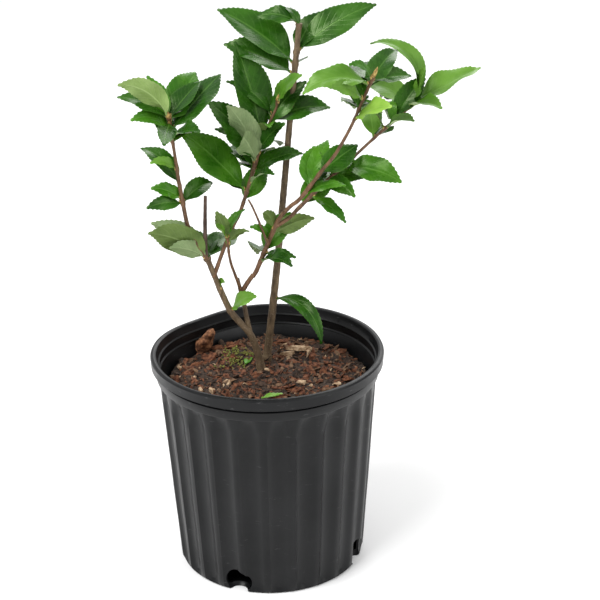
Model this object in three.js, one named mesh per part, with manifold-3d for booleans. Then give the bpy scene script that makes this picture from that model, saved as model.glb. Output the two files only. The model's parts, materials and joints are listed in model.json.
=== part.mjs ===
// A young camellia shrub growing in a fluted black nursery pot.
// Millimetres, +Z up. The origin is the centre of the pot's flat underside, and -Y is the front.
import * as THREE from 'three';
import { mergeVertices } from 'three/addons/utils/BufferGeometryUtils.js';
import Module from 'manifold-3d';

const wasm = await Module();
wasm.setup();

// ---------- driving dimensions ----------
const GAP = 0.3;                 // air left between touching pieces
const POT_HEIGHT = 165;
const RIM_RADIUS = 85;           // outside of the rolled rim
const RIM_BAND = 9;              // height of the rolled rim
const COLLAR_RADIUS = 81;        // plain collar under the rim
const COLLAR_HEIGHT = 9;
const WALL_TOP_RADIUS = 80;      // fluted wall, under the collar
const BASE_RADIUS = 69;          // fluted wall, at the foot
const EDGE_ROUND = 3;            // rounding between wall and underside
const WALL = 2;
const FLOOR = 3;
const FLUTES = 24;
const FLUTE_DEPTH = 1.6;
const FLUTE_RUN_OUT = 8;         // length over which a channel fades out under the collar
const DRAIN_HOLES = 4;
const DRAIN_WIDTH = 18;
const DRAIN_HEIGHT = 19;
const DRAIN_REACH = 10;          // how far a hole runs in under the pot
const DRAIN_SIDES = 16;
const DRAIN_PHASE = -110.5;      // compass bearing of the first hole, degrees
const FLUTE_PHASE = 5.5;         // compass bearing of one channel's middle, degrees
const LATHE_STEPS = 2 * FLUTES;  // a ridge line and a channel line to each flute
const SOIL_LEVEL = 143;          // at the pot wall
const SOIL_MOUND = 3;            // how much higher the mix is round the stems
const MOUND_TOP_RADIUS = 30;     // level top of the mound
const MOUND_RADIUS = 45;         // where the mix has dropped halfway to the wall's level
const MIX_STEPS = 36;
const LIMB_SIDES = 8;
const LIMB_RING_GAP = 14;        // length between two rings of a limb
const FLARE_FADE = 30;           // how quickly a foot's flare dies away along its limb
const LOBE_SIDES = 4;            // edge, upper face, edge and under face
const LOBE_RINGS = 5;
const LEAF_THICKNESS = 5;        // a lobe stands for a leaf and the air it curls through
const FULLNESS = 1.15;           // a lobe's width over its leaf's
const TIP_TAPER = 0.35;          // how much slimmer a lobe is towards its tip
const CORE_SIDES = 5;
const CORE_CAP = 4;              // how far a mass's core runs past its last leaf
const CORE_TAPER = 0.7;          // the core's girth at its tip, as a share of that at its foot

const GROUND = SOIL_LEVEL + SOIL_MOUND + GAP;

// ---------- finishes ----------
const finish = (color, roughness) => new THREE.MeshStandardMaterial({ color, roughness, metalness: 0 });
const BLACK_PLASTIC = finish(0x2b2d30, 0.45);
const BARK_MIX = finish(0x4a2f24, 0.95);
const BARK = finish(0x6d5a48, 0.8);
const YOUNG_BARK = finish(0x7a4a38, 0.7);
const DEAD_WOOD = finish(0x5c4a44, 0.85);
const DARK_LEAF = finish(0x1f5c1c, 0.35);
const MID_LEAF = finish(0x3c8a2c, 0.4);
const PALE_LEAF = finish(0x86b04c, 0.5);

// ---------- solids and meshes ----------
function toSolid(geometry) {
  const bare = geometry.clone();
  bare.deleteAttribute('normal');
  bare.deleteAttribute('uv');
  const merged = mergeVertices(bare, 1e-4);
  return new wasm.Manifold(new wasm.Mesh({
    numProp: 3,
    vertProperties: Float32Array.from(merged.attributes.position.array),
    triVerts: Uint32Array.from(merged.index.array),
  }));
}

function toGeometry(solid) {
  const mesh = solid.getMesh();
  const geometry = new THREE.BufferGeometry();
  geometry.setAttribute('position', new THREE.BufferAttribute(mesh.vertProperties, 3));
  geometry.setIndex(new THREE.BufferAttribute(mesh.triVerts, 1));
  geometry.computeVertexNormals();
  return geometry;
}

// A cut can leave crumbs behind. The piece is the largest body that is left.
function largestBody(solid) {
  return solid.decompose().reduce((best, body) => (body.volume() > best.volume() ? body : best));
}

const group = new THREE.Group();

function addNode(name, solid, material) {
  const mesh = new THREE.Mesh(toGeometry(solid), material.clone());
  mesh.name = name;
  group.add(mesh);
}

// ---------- pot ----------
function wallRadius(z) {
  return BASE_RADIUS + (WALL_TOP_RADIUS - BASE_RADIUS) * (z / (POT_HEIGHT - RIM_BAND));
}

const COLLAR_BOTTOM = POT_HEIGHT - RIM_BAND - COLLAR_HEIGHT;

function potProfile() {
  const inner = (z) => wallRadius(z) - FLUTE_DEPTH - WALL;
  const outer = [
    [0, 0],
    [BASE_RADIUS - EDGE_ROUND, 0],
    [wallRadius(1) - 0.9, 0.9],
    [wallRadius(EDGE_ROUND), EDGE_ROUND],
    [wallRadius(80), 80],
    [wallRadius(COLLAR_BOTTOM - FLUTE_RUN_OUT), COLLAR_BOTTOM - FLUTE_RUN_OUT],
    [wallRadius(COLLAR_BOTTOM), COLLAR_BOTTOM],
    [COLLAR_RADIUS, COLLAR_BOTTOM + 1.5],
    [COLLAR_RADIUS, POT_HEIGHT - RIM_BAND],
    [RIM_RADIUS - 1, POT_HEIGHT - RIM_BAND + 0.5],
    [RIM_RADIUS, POT_HEIGHT - RIM_BAND / 2],
    [RIM_RADIUS - 1, POT_HEIGHT - 1],
    [RIM_RADIUS - 3, POT_HEIGHT],
  ];
  const inside = [
    [COLLAR_RADIUS - 1, POT_HEIGHT - 1],
    [COLLAR_RADIUS - WALL - 1, POT_HEIGHT - RIM_BAND],
    [inner(SOIL_LEVEL), SOIL_LEVEL],
    [inner(FLOOR), FLOOR],
    [0, FLOOR],
  ];
  return [...outer, ...inside].map(([r, z]) => new THREE.Vector2(r, z));
}

// The lathe turns about Y, so it is stood up on Z afterwards.
function lathe(profile, steps) {
  const geometry = new THREE.LatheGeometry(profile, steps);
  geometry.rotateX(Math.PI / 2);
  return geometry;
}

// Every second line of the outer wall is pressed in, which makes the channels between the ridges.
function pressFlutes(geometry) {
  const place = geometry.attributes.position;
  const pitch = (2 * Math.PI) / FLUTES;
  for (let i = 0; i < place.count; i += 1) {
    const [x, y, z] = [place.getX(i), place.getY(i), place.getZ(i)];
    const radius = Math.hypot(x, y);
    const onWall = z < COLLAR_BOTTOM && radius > wallRadius(z) - FLUTE_DEPTH;
    const turn = Math.atan2(y, x) / pitch;
    const inChannel = Math.abs(turn - Math.round(turn)) < 0.1;
    if (onWall && inChannel && radius > BASE_RADIUS - EDGE_ROUND / 2) {
      const fade = THREE.MathUtils.smoothstep(z, COLLAR_BOTTOM - FLUTE_RUN_OUT, COLLAR_BOTTOM);
      const pressed = FLUTE_DEPTH * (1 - fade);
      const share = (radius - pressed) / radius;
      place.setXY(i, x * share, y * share);
    }
  }
  return geometry;
}

function drainCutter(bearing) {
  const cutter = new THREE.CylinderGeometry(DRAIN_WIDTH / 2, DRAIN_WIDTH / 2, 3 * DRAIN_REACH, DRAIN_SIDES);
  cutter.rotateZ(-Math.PI / 2);
  cutter.scale(1, 1, (2 * DRAIN_HEIGHT) / DRAIN_WIDTH);
  cutter.rotateX(Math.PI / 2);
  cutter.translate(BASE_RADIUS + DRAIN_REACH / 2, 0, 0);
  cutter.rotateZ(THREE.MathUtils.degToRad(bearing));
  return toSolid(cutter);
}

const fluted = pressFlutes(lathe(potProfile(), LATHE_STEPS));
fluted.rotateZ(THREE.MathUtils.degToRad(FLUTE_PHASE));
let pot = toSolid(fluted);
for (let hole = 0; hole < DRAIN_HOLES; hole += 1) {
  pot = pot.subtract(drainCutter(DRAIN_PHASE + (hole * 360) / DRAIN_HOLES));
}
addNode('pot', pot, BLACK_PLASTIC);

// ---------- potting mix ----------
function mixProfile() {
  const clear = WALL + FLUTE_DEPTH + GAP;
  return [
    [0, FLOOR + GAP],
    [wallRadius(FLOOR) - clear - 1, FLOOR + GAP],
    [wallRadius(SOIL_LEVEL) - clear - 1, SOIL_LEVEL],
    [MOUND_RADIUS, SOIL_LEVEL + SOIL_MOUND / 2],
    [MOUND_TOP_RADIUS, SOIL_LEVEL + SOIL_MOUND],
    [0, SOIL_LEVEL + SOIL_MOUND],
  ].map(([r, z]) => new THREE.Vector2(r, z));
}

addNode('potting_mix', toSolid(lathe(mixProfile(), MIX_STEPS)), BARK_MIX);

// ---------- limbs ----------
// A limb is a tapering cylinder bent along a smooth line through a few turning points.
function limbGeometry(path, footRadius, tipRadius, flare = 0, sides = LIMB_SIDES) {
  const line = new THREE.CatmullRomCurve3(path.map((p) => new THREE.Vector3(...p)));
  const steps = Math.max(3, Math.round(line.getLength() / LIMB_RING_GAP));
  const geometry = new THREE.CylinderGeometry(1, 1, 1, sides, steps);
  const place = geometry.attributes.position;
  for (let i = 0; i < place.count; i += 1) {
    const along = THREE.MathUtils.clamp(place.getY(i) + 0.5, 0, 1);
    const tangent = line.getTangentAt(along);
    // The foot is cut level with the ground, so the lowest ring lies flat.
    const axis = flare > 0 && along === 0 ? new THREE.Vector3(0, 0, 1) : tangent;
    const turn = new THREE.Quaternion().setFromUnitVectors(new THREE.Vector3(0, 0, 1), axis);
    const radius = THREE.MathUtils.lerp(footRadius, tipRadius, along) + flare * Math.exp(-along * FLARE_FADE);
    const spoke = new THREE.Vector3(place.getX(i), -place.getZ(i), 0).multiplyScalar(radius);
    const point = line.getPointAt(along).add(spoke.applyQuaternion(turn));
    place.setXYZ(i, point.x, point.y, point.z);
  }
  return geometry;
}

const limbSolid = (limb, grow = 0) => toSolid(limbGeometry(
  limb.path, limb.foot + grow, limb.tip + grow, limb.flare ?? 0,
));

// Each limb starts inside the one named in "from", and is cut back to a gap from it.
const LIMBS = {
  main_stem: {
    path: [[-1, 20, GROUND], [8, 18, 220], [18, 16, 318], [27, 14, 401]],
    foot: 2.9, tip: 1.9, flare: 1.6,
  },
  left_stem: {
    path: [[-5, 6, GROUND], [-8, 2, 166], [-13, -2, 180]],
    foot: 2.8, tip: 2.3, flare: 1.4,
  },
  left_bough: {
    path: [[-13, -2, 180], [-24, -5, 194], [-33, -9, 219], [-40, -13, 241]],
    foot: 2.1, tip: 1.9, from: 'left_stem',
  },
  middle_stem: {
    path: [[-13, -2, 180], [-15, -2, 198], [-18, -2, 212]],
    foot: 2, tip: 1.9, from: 'left_stem',
  },
  dead_stub: {
    path: [[-41, -13, 240], [-41, -11, 262], [-40, -8, 286]],
    foot: 1.5, tip: 1.4, from: 'left_bough',
  },
  left_shoot: {
    path: [[-40, -13, 241], [-50, -15, 258], [-54, -17, 275]],
    foot: 1.6, tip: 1.3, from: 'left_bough',
  },
  left_shoot_top: {
    path: [[-57, -19, 300], [-59, -21, 322]],
    foot: 1.2, tip: 1.1,
  },
  centre_shoot: {
    path: [[-35, -11, 230], [-26, -5, 252], [-14, 0, 277]],
    foot: 1.5, tip: 1.3, from: 'left_bough',
  },
  centre_shoot_top: {
    path: [[-1, 8, 318], [5, 10, 331], [11, 12, 344]],
    foot: 1.2, tip: 1.1,
  },
  left_twig: {
    path: [[-17, -2, 210], [-21, -8, 226], [-24, -12, 238]],
    foot: 1.2, tip: 1, from: 'middle_stem',
  },
  middle_bough: {
    path: [[-17, -2, 211], [-11, -3, 221], [-5, -4, 229]],
    foot: 1.8, tip: 1.7, from: 'middle_stem',
  },
  right_fork: {
    path: [[6, -7, 258], [12, -9, 271], [28, -14, 287]],
    foot: 1.7, tip: 1.5,
  },
  inner_bough: {
    path: [[40, -19, 306], [47, -22, 315], [53, -25, 325]],
    foot: 1.4, tip: 1.3,
  },
  outer_bough: {
    path: [[9, -8, 264], [17, -6, 267], [24, -4, 274]],
    foot: 1.5, tip: 1.4, from: 'right_fork',
  },
  outer_bough_top: {
    path: [[43, 5, 290], [57, 10, 300], [70, 15, 311]],
    foot: 1.4, tip: 1.2,
  },
  link_twig: {
    path: [[2, -11, 252], [-3, -11, 267], [-9, -6, 280]],
    foot: 0.8, tip: 0.8,
  },
};

const solids = {};

function cutClear(solid, others) {
  return others.reduce((rest, other) => rest.subtract(other), solid);
}

for (const [name, limb] of Object.entries(LIMBS)) {
  const parent = limb.from ? [limbSolid(LIMBS[limb.from], GAP)] : [];
  const siblings = Object.keys(solids)
    .filter((other) => other !== limb.from)
    .map((other) => limbSolid(LIMBS[other], GAP));
  solids[name] = largestBody(cutClear(limbSolid(limb), [...parent, ...siblings]));
}

const OLD_WOOD = ['main_stem', 'left_stem', 'left_bough', 'middle_stem'];
for (const [name, solid] of Object.entries(solids)) {
  const wood = OLD_WOOD.includes(name) ? BARK : YOUNG_BARK;
  addNode(name, solid, name === 'dead_stub' ? DEAD_WOOD : wood);
}

// ---------- masses of foliage ----------
// One lobe of a mass is a lens in a leaf's outline. It sets off at a compass bearing (0 is +X and
// 90 is +Y, the back) and a rise in degrees, and droops by that many degrees over its reach.
function lobeGeometry(root, [compass, rise, reach, width, droop], grow) {
  const geometry = new THREE.SphereGeometry(1, LOBE_SIDES, LOBE_RINGS);
  geometry.rotateZ(-Math.PI / 2);
  const place = geometry.attributes.position;
  const { degToRad } = THREE.MathUtils;
  const bearing = degToRad(compass);
  const bend = degToRad(Math.max(droop, 1));
  const side = new THREE.Vector3(-Math.sin(bearing), Math.cos(bearing), 0);
  const level = new THREE.Vector3(Math.cos(bearing), Math.sin(bearing), 0);
  const bendRadius = reach / bend;
  for (let i = 0; i < place.count; i += 1) {
    const along = (place.getX(i) + 1) / 2;
    const taper = 1 - TIP_TAPER * along;
    const turned = degToRad(rise) - bend * along;
    const out = bendRadius * (Math.sin(degToRad(rise)) - Math.sin(turned));
    const up = bendRadius * (Math.cos(turned) - Math.cos(degToRad(rise)));
    const sideways = -place.getZ(i) * taper * (FULLNESS * width / 2 + grow);
    const proud = place.getY(i) * (LEAF_THICKNESS / 2 + grow);
    const point = root.clone()
      .addScaledVector(level, out - proud * Math.sin(turned))
      .addScaledVector(side, sideways);
    point.z += up + proud * Math.cos(turned);
    place.setXYZ(i, point.x, point.y, point.z);
  }
  return geometry;
}

// Lobes are [place along the core from 0 to 1, compass, rise, reach, width, droop].
const MASSES = {
  left_crown_leaves: {
    core: [[-59, -21, 324], [-62, -24, 351]], girth: 4, material: MID_LEAF,
    lobes: [
      [0.9, -163, 84, 48, 13, 100], [0.95, 24, 90, 34, 12, 60], [0.9, 46, 44, 36, 12, 30],
      [0.35, 32, 48, 58, 20, 25], [0.95, 134, 60, 32, 8, 30], [0.05, -164, 76, 40, 16, 80],
      [0.5, 95, 5, 38, 16, 45], [0.7, -95, 20, 34, 14, 60],
    ],
  },
  left_side_leaves: {
    core: [[-54, -17, 277], [-57, -19, 298]], girth: 4, material: DARK_LEAF,
    lobes: [
      [0.1, 147, 80, 56, 24, 70], [0.1, -155, 82, 45, 14, 50], [0, -148, 35, 30, 12, 40],
      [0, -169, 49, 30, 10, 20], [0.3, 60, 5, 36, 15, 45],
    ],
  },
  left_low_leaves: {
    core: [[-44, -15, 247], [-39, -14, 228]], girth: 3.5, material: MID_LEAF,
    lobes: [
      [0.1, -159, 53, 46, 12, 50], [0.9, -149, 65, 40, 12, 50], [0.3, 129, 55, 28, 16, 40],
    ],
  },
  centre_leaves: {
    core: [[-13, 1, 282], [-2, 7, 316]], girth: 4, material: DARK_LEAF,
    lobes: [
      [0, 168, 65, 67, 19, 40], [1, 144, 84, 75, 22, 20], [0.5, -165, 69, 61, 16, 20],
      [0.3, -132, 80, 63, 16, 20], [0, 13, 57, 52, 15, 50], [1, 11, 49, 58, 17, 50],
      [0.6, 95, 5, 44, 18, 45], [0.4, -80, 15, 36, 15, 60],
    ],
  },
  centre_tip_leaves: {
    core: [[11, 11, 346], [12, 11, 352]], girth: 3, material: PALE_LEAF,
    lobes: [
      [0.5, -33, 79, 45, 22, 60], [0.5, -150, 60, 30, 12, 60],
    ],
  },
  top_leaves: {
    core: [[22, 15, 366], [25, 14, 388]], girth: 5.5, material: DARK_LEAF,
    lobes: [
      [0.1, 158, 56, 68, 23, 40], [0.5, 139, 78, 34, 8, 10], [0.8, 48, 47, 20, 8, 10],
      [0.4, 14, 45, 69, 16, 30], [0.3, 90, 10, 42, 17, 50],
    ],
  },
  inner_leaves: {
    core: [[-24, -13, 240], [-25, -18, 259]], girth: 3, material: MID_LEAF,
    lobes: [
      [0.9, -146, 88, 25, 10, 40], [0.9, 21, 76, 25, 10, 40], [0.9, -126, 65, 22, 10, 40],
      [0.2, -29, 64, 26, 10, 30], [0.1, 117, 60, 18, 9, 40],
    ],
  },
  centre_low_leaves: {
    core: [[-4, -4, 231], [6, -7, 256]], girth: 3.5, material: PALE_LEAF,
    lobes: [
      [0.95, -30, 40, 40, 22, 40], [0.85, -124, 83, 27, 10, 40], [0.4, -134, 74, 27, 12, 30],
      [0.1, -22, 29, 28, 11, 30], [0.6, 100, 5, 32, 15, 45],
    ],
  },
  right_inner_leaves: {
    core: [[29, -14, 289], [39, -18, 304]], girth: 3.5, material: DARK_LEAF,
    lobes: [
      [0.1, 55, 46, 42, 20, 10], [0.9, 41, 33, 42, 15, 30], [0.5, -34, 49, 28, 12, 20],
    ],
  },
  right_low_leaves: {
    core: [[25, -4, 275], [42, 4, 289]], girth: 3.5, material: MID_LEAF,
    lobes: [
      [0.9, -8, 34, 60, 13, 60], [0.4, -17, 25, 36, 13, 40], [0, -18, 25, 38, 13, 80],
      [0.6, 85, 5, 38, 16, 45],
    ],
  },
  right_crown_leaves: {
    core: [[54, -25, 327], [73, -34, 373]], girth: 4, material: DARK_LEAF,
    lobes: [
      [1, -173, 29, 50, 14, 80], [1, 39, 27, 35, 13, 60], [0.8, -136, 68, 29, 13, 30],
      [0.5, -68, 52, 44, 24, 20], [0.1, 91, 70, 40, 16, 20], [0.15, 32, 43, 36, 17, 20],
      [0.6, 80, 5, 36, 15, 45],
    ],
  },
  right_tip_leaves: {
    core: [[72, 16, 313], [109, 28, 341]], girth: 4, material: PALE_LEAF,
    lobes: [
      [0.95, 180, 122, 73, 13, 150], [1, 10, 40, 54, 17, 40], [0.1, 37, 61, 34, 14, 20],
      [0.45, -12, 65, 32, 20, 30], [0.5, -38, 46, 46, 12, 50], [0.1, -33, 43, 40, 14, 30],
      [0.6, 85, 5, 40, 16, 45],
    ],
  },
  foot_leaves: {
    core: [[-25, -9, 194], [-26, -11, 201]], girth: 2.5, material: PALE_LEAF,
    lobes: [
      [0.5, -105, 79, 28, 10, 10], [0.3, -27, 48, 28, 9, 20],
    ],
  },
  strap_leaf: {
    core: [[9, 16, 193], [10, 16, 196]], girth: 2, material: MID_LEAF,
    lobes: [
      [0.5, -42, 42, 64, 13, 150],
    ],
  },
};

function massSolid({ core, girth, lobes }, grow = 0) {
  const [start, end] = core.map((p) => new THREE.Vector3(...p));
  const cap = end.clone().sub(start).setLength(CORE_CAP).add(end);
  const run = [core[0], cap.toArray()];
  let solid = toSolid(limbGeometry(run, girth + grow, girth * CORE_TAPER + grow, 0, CORE_SIDES));
  for (const [at, ...heading] of lobes) {
    const root = start.clone().lerp(end, at);
    solid = solid.add(toSolid(lobeGeometry(root, heading, grow)));
  }
  return solid;
}

const placed = Object.keys(LIMBS).map((name) => limbSolid(LIMBS[name], GAP));
for (const [name, mass] of Object.entries(MASSES)) {
  const solid = largestBody(cutClear(massSolid(mass), placed));
  addNode(name, solid, mass.material);
  placed.push(massSolid(mass, GAP));
}

export default group;
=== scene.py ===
"""A young camellia shrub in a fluted black nursery pot, on a pale studio floor."""

import heapq
import json
import math
import random

import bmesh
import bpy
import numpy as np
from mathutils import Matrix, Vector


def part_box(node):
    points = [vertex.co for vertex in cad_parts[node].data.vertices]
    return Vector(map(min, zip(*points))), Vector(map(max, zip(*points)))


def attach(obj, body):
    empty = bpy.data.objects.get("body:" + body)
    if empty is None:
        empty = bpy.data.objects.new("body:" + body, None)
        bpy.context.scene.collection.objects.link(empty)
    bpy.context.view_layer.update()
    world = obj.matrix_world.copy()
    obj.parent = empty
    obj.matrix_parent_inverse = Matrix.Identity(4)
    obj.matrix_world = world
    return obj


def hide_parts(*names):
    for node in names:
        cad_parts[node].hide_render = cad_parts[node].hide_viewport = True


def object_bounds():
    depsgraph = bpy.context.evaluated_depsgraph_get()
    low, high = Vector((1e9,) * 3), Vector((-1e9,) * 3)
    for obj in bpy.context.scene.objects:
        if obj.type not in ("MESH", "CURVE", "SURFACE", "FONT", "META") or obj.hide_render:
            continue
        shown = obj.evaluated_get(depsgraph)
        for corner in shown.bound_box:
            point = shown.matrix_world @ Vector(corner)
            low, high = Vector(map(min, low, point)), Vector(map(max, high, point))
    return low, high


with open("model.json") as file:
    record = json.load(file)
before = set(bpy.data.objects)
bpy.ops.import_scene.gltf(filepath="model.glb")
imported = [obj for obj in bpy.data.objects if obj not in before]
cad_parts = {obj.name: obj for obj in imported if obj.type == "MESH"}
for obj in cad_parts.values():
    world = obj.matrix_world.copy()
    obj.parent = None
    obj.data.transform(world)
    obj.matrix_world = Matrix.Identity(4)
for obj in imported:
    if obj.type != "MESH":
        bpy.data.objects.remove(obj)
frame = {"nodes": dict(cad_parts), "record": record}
CAD_LOW, CAD_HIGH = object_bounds()
MM = 0.001
rng = random.Random(7)

# ---------- sizes, in millimetres ----------
POT_LOW, POT_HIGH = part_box("pot")
POT_HEIGHT = POT_HIGH.z / MM
RIM_RADIUS = POT_HIGH.x / MM
RIM_BAND = 9
COLLAR_RADIUS = RIM_RADIUS - 4
COLLAR_HEIGHT = 9
WALL_TOP_RADIUS = RIM_RADIUS - 5
BASE_RADIUS = RIM_RADIUS - 16
WALL = 2
FLOOR_THICKNESS = 3
FLUTES = 24
STEPS_PER_FLUTE = 10
FLUTE_DEPTH = 2.9
FLUTE_PHASE = 5.5
FLAT_DEPTH = 6         # how far the rim is pressed in on one side
FLAT_FOOT = 60         # below this height nothing is pressed in
FLAT_BEARING = 130
FLAT_SPREAD = 24
DRAIN_RADIUS = 10
DRAIN_CENTRE = 8       # above the floor
DRAIN_INSET = 2        # in from the foot of the wall
DRAIN_BEARINGS = [-110.5 + quarter * 90 for quarter in range(4)]
COLLAR_BOTTOM = POT_HEIGHT - RIM_BAND - COLLAR_HEIGHT
SOIL_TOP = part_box("potting_mix")[1].z / MM
SOIL_EDGE = SOIL_TOP - 3
MIX_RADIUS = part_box("potting_mix")[1].x / MM - 2.5
SOIL_DIP = 4           # the mix is nowhere further below its edge
SOIL_RANGE = 12        # from its lowest dip to its highest hump
CHIPS = 2000


# ---------- making and finishing meshes ----------
def deselect():
    """Object mode, with nothing selected."""
    if bpy.context.mode != "OBJECT":
        bpy.ops.object.mode_set(mode="OBJECT")
    bpy.ops.object.select_all(action="DESELECT")


def only(piece):
    """The piece alone is selected and active."""
    deselect()
    piece.select_set(True)
    bpy.context.view_layer.objects.active = piece


def named(name):
    """The primitive that was just added, under its own name, with its place moved into its mesh."""
    piece = bpy.context.object
    piece.name = name
    piece.data.name = name
    bpy.ops.object.transform_apply(location=True, rotation=True, scale=True)
    return piece


def apply_all(piece):
    only(piece)
    for modifier in list(piece.modifiers):
        bpy.ops.object.modifier_apply(modifier=modifier.name)


def edit_faces(piece, test):
    """Edit mode, with the faces chosen whose centre and normal pass the test."""
    only(piece)
    bpy.ops.object.mode_set(mode="EDIT")
    bpy.ops.mesh.select_mode(type="FACE")
    bpy.ops.mesh.select_all(action="DESELECT")
    shape = bmesh.from_edit_mesh(piece.data)
    for face in shape.faces:
        face.select = test(face.calc_center_median(), face.normal)
    bmesh.update_edit_mesh(piece.data)


def smooth(piece, degrees):
    only(piece)
    bpy.ops.object.shade_smooth_by_angle(angle=math.radians(degrees))


def joined_mesh(name, points, faces, materials, face_materials=None, uvs=None):
    """One mesh piece from arrays. The maps in uvs are a name and one pair for each face corner."""
    mesh = bpy.data.meshes.new(name)
    mesh.from_pydata([tuple(p) for p in points], [], [tuple(f) for f in faces])
    for material in materials:
        mesh.materials.append(material)
    if face_materials is not None:
        mesh.polygons.foreach_set("material_index", face_materials)
    for map_name, pairs in (uvs or {}).items():
        layer = mesh.uv_layers.new(name=map_name)
        layer.data.foreach_set("uv", np.asarray(pairs, np.float32).ravel())
    mesh.update()
    piece = bpy.data.objects.new(name, mesh)
    bpy.context.scene.collection.objects.link(piece)
    return piece


def finish_piece(piece, slot, *nodes):
    """The piece rides on the plant's one body, and stands for the CAD nodes named."""
    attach(piece, "root")
    if nodes:
        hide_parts(*nodes)


# ---------- shader helpers ----------
class Shader:
    """A material's node tree, with short calls for the nodes that the finishes use."""

    def __init__(self, tree):
        self.tree = tree
        self.nodes = tree.nodes
        self.links = tree.links

    def add(self, kind, inputs=None, **settings):
        node = self.nodes.new(kind)
        for key, value in settings.items():
            setattr(node, key, value)
        for key, value in (inputs or {}).items():
            self.feed(node.inputs[key], value)
        return node

    def feed(self, socket, value):
        if isinstance(value, bpy.types.NodeSocket):
            self.links.new(value, socket)
        else:
            socket.default_value = value

    def math(self, operation, *values, clamp=False):
        node = self.add("ShaderNodeMath", operation=operation, use_clamp=clamp)
        for socket, value in zip(node.inputs, values):
            self.feed(socket, value)
        return node.outputs[0]

    def noise(self, vector, scale, detail=3.0, roughness=0.55):
        inputs = {"Vector": vector, "Scale": scale, "Detail": detail, "Roughness": roughness}
        return self.add("ShaderNodeTexNoise", inputs).outputs["Fac"]

    def span(self, value, low, high, to_low=0.0, to_high=1.0):
        """The value's range from low to high, spread smoothly over a new one."""
        inputs = {0: value, 1: low, 2: high, 3: to_low, 4: to_high}
        node = self.add("ShaderNodeMapRange", inputs, interpolation_type="SMOOTHSTEP")
        return node.outputs[0]

    def mix(self, share, first, second):
        node = self.add("ShaderNodeMix", data_type="RGBA")
        self.feed(node.inputs[0], share)
        self.feed(node.inputs[6], first)
        self.feed(node.inputs[7], second)
        return node.outputs[2]

    def stretched(self, vector, scale):
        return self.add("ShaderNodeMapping", {"Vector": vector, "Scale": scale}).outputs[0]

    def bump(self, height, strength, distance):
        inputs = {"Height": height, "Strength": strength, "Distance": distance}
        return self.add("ShaderNodeBump", inputs).outputs[0]


def new_group(name, inputs, outputs):
    """A shader node group with the named sockets, and the Shader that fills it."""
    tree = bpy.data.node_groups.new(name, "ShaderNodeTree")
    for socket, (kind, value) in inputs.items():
        made = tree.interface.new_socket(socket, in_out="INPUT", socket_type=kind)
        if value is not None:
            made.default_value = value
    for socket, kind in outputs.items():
        tree.interface.new_socket(socket, in_out="OUTPUT", socket_type=kind)
    shader = Shader(tree)
    start = shader.add("NodeGroupInput")
    end = shader.add("NodeGroupOutput")
    return tree, shader, start.outputs, end.inputs


def new_material(name, **plain):
    """A material with a Principled shader, whose plain numbers are set on its own sockets."""
    material = bpy.data.materials.new(name)
    material.use_nodes = True
    shader = Shader(material.node_tree)
    principled = shader.nodes["Principled BSDF"]
    for key, value in plain.items():
        principled.inputs[key.replace("_", " ")].default_value = value
    return material, shader, principled.inputs


def place_group(shader, tree, inputs):
    node = shader.add("ShaderNodeGroup", node_tree=tree)
    for key, value in inputs.items():
        shader.feed(node.inputs[key], value)
    return node.outputs


def object_place(shader):
    return shader.add("ShaderNodeTexCoord").outputs["Object"]


# ---------- shader groups ----------
FLOAT, COLOUR, VECTOR = "NodeSocketFloat", "NodeSocketColor", "NodeSocketVector"


def mottle_group():
    """Two colours dappled over the surface at a stated grain, and a fine height to go with them."""
    inputs = {
        "Place": (VECTOR, None),
        "Dark": (COLOUR, (0.1, 0.1, 0.1, 1)),
        "Light": (COLOUR, (0.5, 0.5, 0.5, 1)),
        "Grain": (FLOAT, 100.0),
        "Contrast": (FLOAT, 0.2),
    }
    tree, s, start, end = new_group("mottle", inputs, {"Color": COLOUR, "Height": FLOAT})
    dapple = s.noise(start["Place"], start["Grain"], detail=5.0)
    low = s.math("SUBTRACT", 0.5, start["Contrast"])
    high = s.math("ADD", 0.5, start["Contrast"])
    s.feed(end["Color"], s.mix(s.span(dapple, low, high), start["Dark"], start["Light"]))
    fine = s.math("MULTIPLY", start["Grain"], 4.0)
    s.feed(end["Height"], s.noise(start["Place"], fine, detail=4.0))
    return tree


def vein_group(pairs=9.0, slant=0.28):
    """Masks of a leaf's midrib and side veins, and of a band along its edge where a highlight is painted,
    from a map that runs 0 to 1 across and along it.
    """
    masks = {"Midrib": FLOAT, "Veins": FLOAT, "EdgeHighlight": FLOAT}
    tree, s, start, end = new_group("leaf_veins", {"Map": (VECTOR, None)}, masks)
    split = s.add("ShaderNodeSeparateXYZ", {0: start["Map"]}).outputs
    across = s.math("ABSOLUTE", s.math("MULTIPLY", s.math("SUBTRACT", split[0], 0.5), 2.0))
    s.feed(end["Midrib"], s.span(across, 0.02, 0.075, 1.0, 0.0))
    # The band along the blade's edge that carries the painted highlight on the upper face.
    s.feed(end["EdgeHighlight"], s.span(across, 0.86, 1.0))
    along = s.math("SUBTRACT", split[1], s.math("MULTIPLY", across, slant))
    saw = s.math("FRACT", s.math("MULTIPLY", along, pairs))
    ridge = s.math("ABSOLUTE", s.math("SUBTRACT", saw, 0.5))
    line = s.span(ridge, 0.0, 0.16, 1.0, 0.0)
    inside = s.span(across, 0.82, 1.0, 1.0, 0.0)
    s.feed(end["Veins"], s.math("MULTIPLY", line, inside))
    return tree


MOTTLE = mottle_group()
VEINS = vein_group()


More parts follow.
